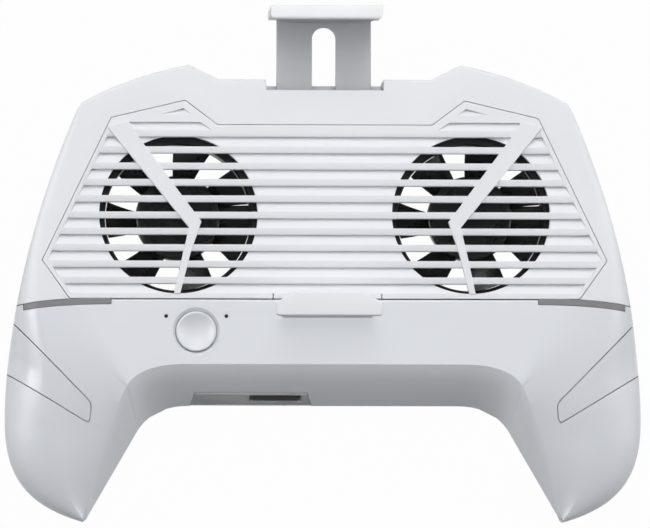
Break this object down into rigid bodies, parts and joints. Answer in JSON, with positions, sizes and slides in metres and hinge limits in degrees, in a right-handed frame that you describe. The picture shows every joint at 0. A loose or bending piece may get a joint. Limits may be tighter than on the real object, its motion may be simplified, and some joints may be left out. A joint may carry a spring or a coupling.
{
  "type": "phone cooling fan grip",
  "caption": "Game-pad shaped phone grip whose louvred panel covers cooling fans, with a sliding slotted clamp, a fixed lower jaw, a dished power button and a socket in its lower edge.",
  "frame": {"origin": "on the flat back, midway across and level with the centre line that the sizes run from", "axes": "+X across the grips to the right, +Y up towards the clamp, +Z out of the front face"},
  "size_m": [0.1758, 0.1411, 0.037],
  "materials": {
    "bezel_white": "fine matte moulded texture",
    "shell_white": "satin moulded plastic",
    "strip_grey": "satin grey strip",
    "fan_black": "matte black moulding",
    "rotor_black": "satin black moulding",
    "pad_grey": "soft matte pad",
    "steel": "plain bright steel",
    "copper": "wound copper over plain poles",
    "brass": "turned",
    "magnet_dark": "plain sintered",
    "board_green": "solder mask",
    "cell_silver": "plain foil pouch",
    "light_pipe": "clear",
    "lead_black": "plain insulation",
    "lead_red": "plain insulation"
  },
  "bodies": {
    "housing": {"front_bezel": "bezel_white", "louvre_panel": "bezel_white", "lower_front_shell": "shell_white", "rear_shell": "shell_white", "left_trim": "strip_grey", "right_trim": "strip_grey", "left_grip_inlay": "shell_white", "right_grip_inlay": "shell_white", "lower_jaw": "bezel_white", "lower_jaw_pad": "pad_grey", "clamp_guide": "shell_white", "clamp_guide_pin": "steel", "clamp_friction_spring": "steel", "button_switch": "fan_black", "led_light_pipes": "light_pipe", "control_board": "board_green", "usb_port": "steel", "port_plate": "shell_white", "battery": "cell_silver", "left_fan_lead": "lead_black", "right_fan_lead": "lead_black", "battery_lead": "lead_red", "fan_screws": "steel", "case_screws": "steel", "board_screws": "steel", "guide_screws": "steel", "left_fan_frame": "fan_black", "left_fan_stator": "copper", "left_fan_bearing": "brass", "right_fan_frame": "fan_black", "right_fan_stator": "copper", "right_fan_bearing": "brass"},
    "clamp": {"clamp_plate": "bezel_white", "upper_jaw_pad": "pad_grey"},
    "left_rotor": {"left_fan_impeller": "rotor_black", "left_fan_shaft": "steel", "left_fan_magnet": "magnet_dark"},
    "right_rotor": {"right_fan_impeller": "rotor_black", "right_fan_shaft": "steel", "right_fan_magnet": "magnet_dark"},
    "button": {"power_button": "bezel_white"}
  },
  "joints": [
    {"name": "clamp_slide", "type": "slide", "parent": "housing", "child": "clamp", "axis": [0, 1, 0], "range_m": [-0.0196, 0.009]},
    {"name": "left_fan_spin", "type": "hinge", "parent": "housing", "child": "left_rotor", "pos_m": [-0.0403, 0.0126, 0.014], "axis": [0, 0, 1], "continuous": true},
    {"name": "right_fan_spin", "type": "hinge", "parent": "housing", "child": "right_rotor", "pos_m": [0.0403, 0.0126, 0.014], "axis": [0, 0, 1], "continuous": true},
    {"name": "power_button_press", "type": "slide", "parent": "housing", "child": "button", "axis": [0, 0, -1], "range_m": [0, 0.0008], "stiffness_N_per_m": 1500, "springref_m": -0.0005}
  ]
}
